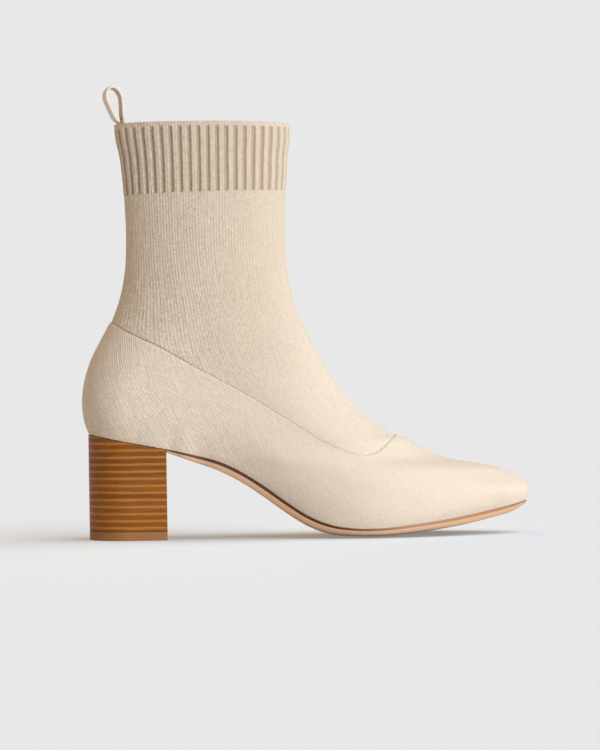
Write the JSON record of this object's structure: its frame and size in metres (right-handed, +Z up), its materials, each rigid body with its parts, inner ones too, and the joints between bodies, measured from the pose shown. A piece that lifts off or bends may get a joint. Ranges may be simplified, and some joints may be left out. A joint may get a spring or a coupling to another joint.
{
  "type": "knit ankle boot",
  "caption": "Pull-on knit ankle boot with a ribbed sock cuff, a seamed foot panel, an almond toe, a thin sole and a stacked block heel, with a tape loop behind the collar.",
  "frame": {"origin": "on the floor, at the centre of the heel's top piece", "axes": "+X towards the toe, +Y towards the inner side of this right boot, +Z up"},
  "size_m": [0.2564, 0.0788, 0.2602],
  "materials": {
    "cream_knit": "matt cream knit",
    "insole_board": "smooth beige sock lining",
    "sole_edge": "tan, satin edge",
    "stacked_leather": "brown stacked layers, satin",
    "top_piece_rubber": "plain tan-brown rubber",
    "loop_tape": "cream woven tape"
  },
  "bodies": {
    "root": {"knit_shaft": "cream_knit", "knit_vamp": "cream_knit", "insole": "insole_board", "outsole": "sole_edge", "heel_block": "stacked_leather", "heel_top_piece": "top_piece_rubber", "pull_loop": "loop_tape"}
  },
  "joints": []
}
